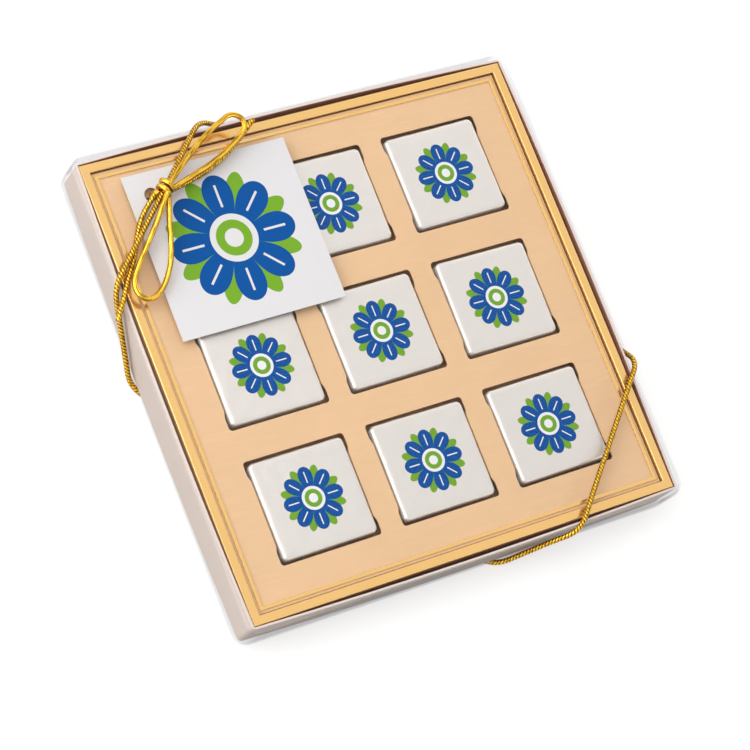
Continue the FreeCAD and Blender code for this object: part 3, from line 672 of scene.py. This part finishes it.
LOWER_TAIL = [
    (-3.0, -0.2, -0.7),
    (-7.3, -3.9, -2.8),
    (-10.7, -7.8, -3.9),
    (-13.3, -12.4, -4.5),
    (-16.0, -17.9, -4.5),
    (-21.2, -24.6, -4.4),
    (-24.7, -30.3, -4.3),
    (-28.9, -36.4, -5.3),
]
TAG_TIE = [(0.3, 0.3, -2.1), (-2.6, 0.8, -3.0), (-2.6, 0.8, -5.3)]
# Each cord's node, route, real length in mm and far end
BOW = [
    ("bow_loop_upper", UPPER_LOOP, 76.8, "object"),
    ("bow_loop_lower", LOWER_LOOP, 77.6, "object"),
    ("bow_tail_upper", UPPER_TAIL, 41.1, "bare"),
    ("bow_tail_lower", LOWER_TAIL, 45.3, "bare"),
]
# How far each square has turned in its pocket, in degrees
SQUARE_TURNS = (0.3, -0.4, 0.5, -0.2, 0.4, -0.5, 0.2, -0.3, 0.4)


class GIFTBOX_OT_stage(bpy.types.Operator):
    """Sets up the camera, the lamps, the white surroundings and the floor"""

    bl_idname = "giftbox.stage"
    bl_label = "Stage"

    def execute(self, context):
        stage = context.scene.giftbox_stage
        context.scene.view_settings.view_transform = "Standard"
        out = Vector(
            (
                math.cos(stage.elevation) * math.cos(stage.azimuth),
                math.cos(stage.elevation) * math.sin(stage.azimuth),
                math.sin(stage.elevation),
            )
        )
        right = (-out).cross(Vector((0, 0, 1))).normalized()
        down = (-out).cross(right)
        across = math.cos(stage.roll) * right + math.sin(stage.roll) * down
        upward = math.sin(stage.roll) * right - math.cos(stage.roll) * down
        lens = bpy.data.cameras.new("camera")
        lens.sensor_width = 36.0
        lens.sensor_fit = "HORIZONTAL"
        lens.lens = stage.lens
        lens.clip_start = 0.01
        camera = bpy.data.objects.new("camera", lens)
        context.scene.collection.objects.link(camera)
        camera.matrix_world = (
            Matrix.Translation(stage.camera_place) @ Matrix((across, upward, out)).transposed().to_4x4()
        )
        context.scene.camera = camera

        # Each lamp's name, power, width and height, and place. It faces the box
        lamps = [
            ("key_softbox", stage.key_power, (0.9, 0.9), (-0.4, 0.3, 0.95)),
            ("left_softbox", stage.left_power, (1.2, 0.6), (-0.85, 0.15, 0.42)),
            ("back_softbox", stage.back_power, (1.0, 0.6), (0.8, 0.6, 0.42)),
            ("front_strip", stage.front_power, (0.6, 0.15), (0.46, -0.72, 0.52)),
        ]
        for name, watts, (width, height), place in lamps:
            lamp = bpy.data.lights.new(name, "AREA")
            lamp.shape = "RECTANGLE"
            lamp.size = width
            lamp.size_y = height
            lamp.energy = watts
            holder = bpy.data.objects.new(name, lamp)
            context.scene.collection.objects.link(holder)
            holder.location = place
            holder.rotation_euler = Vector(place).to_track_quat("Z", "Y").to_euler()

        world = bpy.data.worlds.new("white_studio")
        world.use_nodes = True
        world.node_tree.nodes.clear()
        tree = world.node_tree
        ray = add(tree, "TexCoord").outputs["Generated"]
        rise = add(tree, "SeparateXYZ", (ray,)).outputs["Z"]
        light = add(tree, "MapRange", {0: rise, 3: stage.horizon, 4: stage.zenith})
        # White to the eye, and dimmer as a light on the box
        shown = add(tree, "MapRange", {0: seen_directly(tree), 3: light, 4: 1.0})
        glow = add(tree, "Background", {"Color": (1, 1, 1, 1), "Strength": shown})
        add(tree, "OutputWorld", (glow,))
        context.scene.world = world

        bpy.ops.object.select_all(action="DESELECT")
        bpy.ops.mesh.primitive_plane_add(size=6, location=(0, 0, 0))
        floor = context.object
        floor.name = "floor"
        material, tree = blank_material("white_sweep")
        seen = seen_directly(tree)
        lift = add(tree, "Math", (seen, stage.floor_lift), operation="MULTIPLY")
        # Seen from the object the floor is grey, so that it throws little light on the walls
        grey, pale = linear("959594"), linear("C2C2C0")
        bounce = add(tree, "Mix", {0: seen, 6: grey, 7: pale}, data_type="RGBA").outputs[2]
        paper = add(tree, "BsdfDiffuse", {"Color": bounce})
        shine = add(tree, "Emission", {"Color": (1, 1, 1, 1), "Strength": lift})
        add(tree, "OutputMaterial", (add(tree, "AddShader", (paper, shine)),))
        floor.data.materials.append(material)
        return {"FINISHED"}


class GIFTBOX_OT_elastic(bpy.types.Operator):
    """Runs the gold elastic round two opposite corners of the box"""

    bl_idname = "giftbox.elastic"
    bl_label = "Elastic"

    def execute(self, context):
        sizes = context.scene.giftbox_sizes
        colours = context.scene.giftbox_colours
        loop, _ = cord_tube("gold_elastic", ELASTIC, sizes.cord, sizes.cord_steps, closed=True)
        # The strands under the tray are pressed flat by the box's weight
        for vertex in loop.data.vertices:
            vertex.co.z = max(vertex.co.z, 0.0)
        finish = metallised_cord(
            "metallised_yarn_elastic", colours, yarn=1.15, depth=0.9, gloss=0.2, breaks=1.6
        )
        loop.data.materials.append(finish)
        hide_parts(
            "elastic_under_left", "elastic_under_right", "elastic_top_left", "elastic_top_right"
        )
        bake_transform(loop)
        return {"FINISHED"}


class GIFTBOX_OT_bow(bpy.types.Operator):
    """Ties the bow: its loops, its loose ends, the turns of the knot and the tie into the tag"""

    bl_idname = "giftbox.bow"
    bl_label = "Bow"

    def execute(self, context):
        sizes = context.scene.giftbox_sizes
        colours = context.scene.giftbox_colours
        # Pulled tight in the loops the yarns lie smooth, and at the loose ends they open
        finish = metallised_cord(
            "metallised_bow_cord", colours, yarn=1.0, depth=0.15, gloss=0.16, breaks=0.2
        )
        loose = metallised_cord(
            "metallised_bow_cord_end", colours, yarn=1.15, depth=0.75, gloss=0.18, breaks=0.8
        )
        for node, offsets, long, far_end in BOW:
            route = [KNOT + Vector(offset) for offset in offsets]
            strand, path = cord_tube(f"gold_{node}", route, sizes.cord, sizes.cord_steps)
            dress(strand, "lid", "gold_cord", loose if far_end == "bare" else finish, node)
        along = Vector((math.cos(math.radians(KNOT_ANGLE)), math.sin(math.radians(KNOT_ANGLE)), 0))
        across = Vector((0, 0, 1)).cross(along)
        winding = []
        for degrees in range(KNOT_START, KNOT_START + KNOT_TURNS * 360 + 1, KNOT_STEP):
            turned = math.radians(degrees)
            spoke = Vector((0, 0, 1)) * math.sin(turned) - across * math.cos(turned)
            reach = KNOT_PITCH * ((degrees - KNOT_START) / 360 - KNOT_TURNS / 2)
            winding.append(KNOT + along * reach + spoke * KNOT_RING)
        knot, _ = cord_tube("gold_bow_knot", winding, sizes.cord, sizes.cord_steps)
        dress(knot, "lid", "gold_cord", finish, "bow_knot")
        route = [KNOT + Vector(offset) for offset in TAG_TIE]
        tie, _ = cord_tube("gold_tag_tie", route, sizes.cord, sizes.cord_steps)
        dress(tie, "lid", "gold_cord", finish, "tag_tie")
        return {"FINISHED"}


class GIFTBOX_OT_tray(bpy.types.Operator):
    """Folds the tray from ivory card"""

    bl_idname = "giftbox.tray"
    bl_label = "Tray"

    def execute(self, context):
        colours = context.scene.giftbox_colours
        tray = merged_copy("base_tray", "folded_card_tray")
        round_edges(tray, context.scene.giftbox_sizes.tray_edge, 3)
        dress(tray, "base", "pale_board", folding_box_card("ivory_box_card", colours.tray_card), "base_tray")
        tray.data.materials.append(folding_box_card("brown_card_painted_inner_shade", colours.inner_shade_brown))
        # Painted shade in brown covers the inner walls and the floor, up to the wall's cut edge
        low, high = (corner[2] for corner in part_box("base_tray"))
        cut = 0.1 * MM
        for face in tray.data.polygons:
            inside = outward(face) < 0 or face.normal.z > WALL
            if inside and low + MM < face.center.z < high - cut:
                face.material_index = 1
        return {"FINISHED"}


class GIFTBOX_OT_frame(bpy.types.Operator):
    """Folds the gold frame"""

    bl_idname = "giftbox.frame"
    bl_label = "Gold frame"

    def execute(self, context):
        colours = context.scene.giftbox_colours
        rim = merged_copy("gold_frame", "folded_gold_frame")
        round_edges(rim, context.scene.giftbox_sizes.card_edge)
        dress(rim, "base", "gold_card", gold_film_on_card(colours), "gold_frame")
        # The film ends at the outer fold, and the wall below it is bare card
        rim.data.materials.append(folding_box_card("tan_frame_card", colours.card))
        for face in rim.data.polygons:
            if outward(face) > 0 and abs(face.normal.z) < WALL:
                face.material_index = 1
        return {"FINISHED"}


class GIFTBOX_OT_insert(bpy.types.Operator):
    """Makes the card insert with its stamped gold border, and the deck under it"""

    bl_idname = "giftbox.insert"
    bl_label = "Insert and deck"

    def execute(self, context):
        colours = context.scene.giftbox_colours
        insert = merged_copy("pocket_insert", "die_cut_insert")
        # The stamped ridge rises 0.4 mm over the card, and what is above its foot is gold
        ridge = 0.39 * MM
        card_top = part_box("pocket_insert")[1][2] - ridge
        round_edges(insert, context.scene.giftbox_sizes.card_edge)
        dress(insert, "base", "tan_card", uncoated_tan_card(colours), "pocket_insert")
        insert.data.materials.append(gold_film_on_card(colours))
        for face in insert.data.polygons:
            if face.center.z > card_top:
                face.material_index = 1
        repaint("riser_deck", raw_brown_card(colours))
        return {"FINISHED"}


class GIFTBOX_OT_squares(bpy.types.Operator):
    """Wraps nine chocolate squares in printed foil"""

    bl_idname = "giftbox.squares"
    bl_label = "Wrapped squares"

    def execute(self, context):
        sizes = context.scene.giftbox_sizes
        colours = context.scene.giftbox_colours
        low, high = (Vector(corner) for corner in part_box("foil_wrap_5"))
        middle = (low + high) / 2
        size = high - low
        bpy.ops.object.select_all(action="DESELECT")
        bpy.ops.mesh.primitive_grid_add(
            x_subdivisions=12, y_subdivisions=12, size=1, location=(middle.x, middle.y, high.z)
        )
        block = context.object
        block.name = "foil_block"
        block.scale = (size.x, size.y, 1)
        bpy.ops.object.transform_apply(location=True, rotation=False, scale=True)
        bpy.ops.object.mode_set(mode="EDIT")
        bpy.ops.mesh.select_all(action="SELECT")
        bpy.ops.mesh.extrude_region_move(TRANSFORM_OT_translate={"value": (0, 0, -size.z)})
        bpy.ops.mesh.select_all(action="SELECT")
        bpy.ops.mesh.normals_make_consistent(inside=False)
        near = 0.01 * MM

        def at_corner(vertex):
            across = abs(abs(vertex.co.x - middle.x) - size.x / 2)
            along = abs(abs(vertex.co.y - middle.y) - size.y / 2)
            return across < near and along < near

        def at_rim(edge, rim):
            flat = all(abs(vertex.co.z - rim) < near for vertex in edge.verts)
            return flat and any(abs(face.normal.z) < WALL for face in edge.link_faces)

        pick_edges(block, lambda edge: all(at_corner(vertex) for vertex in edge.verts))
        bpy.ops.mesh.bevel(offset=sizes.foil_corner, segments=5, affect="EDGES")
        pick_edges(block, lambda edge: at_rim(edge, high.z))
        bpy.ops.mesh.bevel(offset=sizes.foil_edge, segments=4, affect="EDGES")
        pick_edges(block, lambda edge: at_rim(edge, low.z))
        bpy.ops.mesh.bevel(offset=sizes.foil_edge / 2, segments=2, affect="EDGES")
        bpy.ops.object.mode_set(mode="OBJECT")
        finish_with(block, "SUBSURF", subdivision_type="SIMPLE", levels=1, render_levels=1)
        print_map(block, middle)
        foil = printed_aluminium_foil(colours, sizes)
        core = milk_chocolate(colours)
        # Dents about 5 mm wide, mostly inwards
        dents = bpy.data.textures.new("foil_dents", "CLOUDS")
        dents.noise_scale = 5 * MM
        dents.noise_depth = 2
        for number, turn in zip(SQUARES, SQUARE_TURNS):
            place = sum((Vector(corner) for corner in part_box(f"foil_wrap_{number}")), Vector()) / 2
            wrap = bpy.data.objects.new(f"foil_square_{number}", block.data.copy())
            context.scene.collection.objects.link(wrap)
            turned = Matrix.Rotation(math.radians(turn), 4, "Z")
            wrap.data.transform(Matrix.Translation(place) @ turned @ Matrix.Translation(-middle))
            finish_with(
                wrap, "DISPLACE", texture=dents, strength=sizes.foil_crumple, mid_level=0.55,
                texture_coords="LOCAL",
            )
            pick(wrap)
            bpy.ops.object.shade_smooth_by_angle(angle=FOIL_SMOOTH)
            dress(wrap, f"square_{number}", "foil", foil, f"foil_wrap_{number}")
            repaint(f"chocolate_{number}", core)
        bpy.data.objects.remove(block)
        return {"FINISHED"}


class GIFTBOX_OT_tag(bpy.types.Operator):
    """Prints the card tag"""

    bl_idname = "giftbox.tag"
    bl_label = "Tag"

    def execute(self, context):
        tag = merged_copy("gift_tag", "printed_tag")
        round_edges(tag, context.scene.giftbox_sizes.card_edge / 2)
        low, high = (Vector(corner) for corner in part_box("gift_tag"))
        print_map(tag, (low + high) / 2)
        finish = coated_tag_card(context.scene.giftbox_colours, context.scene.giftbox_sizes)
        dress(tag, "tag", "white_card", finish, "gift_tag")
        return {"FINISHED"}


class GIFTBOX_OT_lid(bpy.types.Operator):
    """Slips the clear lid over the tray"""

    bl_idname = "giftbox.lid"
    bl_label = "Clear lid"

    def execute(self, context):
        lid = merged_copy("clear_lid", "clear_slip_lid")
        pick(lid)
        bpy.ops.object.shade_smooth_by_angle(angle=LID_SMOOTH)
        dress(lid, "lid", "clear_plastic", clear_thermoformed_pet(), "clear_lid")
        return {"FINISHED"}


class GIFTBOX_PT_panel(bpy.types.Panel):
    """Lists the box's pieces, colours and sizes."""

    bl_idname = "GIFTBOX_PT_panel"
    bl_label = "Gift Box"
    bl_space_type = "VIEW_3D"
    bl_region_type = "UI"
    bl_category = "Gift Box"

    def draw(self, context):
        for operator in OPERATORS:
            self.layout.operator(operator.bl_idname)
        scene = context.scene
        for group in (scene.giftbox_colours, scene.giftbox_sizes, scene.giftbox_stage):
            column = self.layout.column(align=True)
            for name in group.__annotations__:
                column.prop(group, name)


OPERATORS = (
    GIFTBOX_OT_stage,
    GIFTBOX_OT_elastic,
    GIFTBOX_OT_bow,
    GIFTBOX_OT_tray,
    GIFTBOX_OT_frame,
    GIFTBOX_OT_insert,
    GIFTBOX_OT_squares,
    GIFTBOX_OT_tag,
    GIFTBOX_OT_lid,
)
CLASSES = (GiftBoxColours, GiftBoxSizes, GiftBoxStage, *OPERATORS, GIFTBOX_PT_panel)


def register():
    for item in CLASSES:
        bpy.utils.register_class(item)
    bpy.types.Scene.giftbox_colours = PointerProperty(type=GiftBoxColours)
    bpy.types.Scene.giftbox_sizes = PointerProperty(type=GiftBoxSizes)
    bpy.types.Scene.giftbox_stage = PointerProperty(type=GiftBoxStage)


def unregister():
    del bpy.types.Scene.giftbox_stage
    del bpy.types.Scene.giftbox_sizes
    del bpy.types.Scene.giftbox_colours
    for item in reversed(CLASSES):
        bpy.utils.unregister_class(item)


def main():
    register()
    bpy.ops.giftbox.stage()
    bpy.ops.giftbox.elastic()
    bpy.ops.giftbox.bow()
    bpy.ops.giftbox.tray()
    bpy.ops.giftbox.frame()
    bpy.ops.giftbox.insert()
    bpy.ops.giftbox.squares()
    bpy.ops.giftbox.tag()
    bpy.ops.giftbox.lid()


if __name__ == "__main__":
    main()
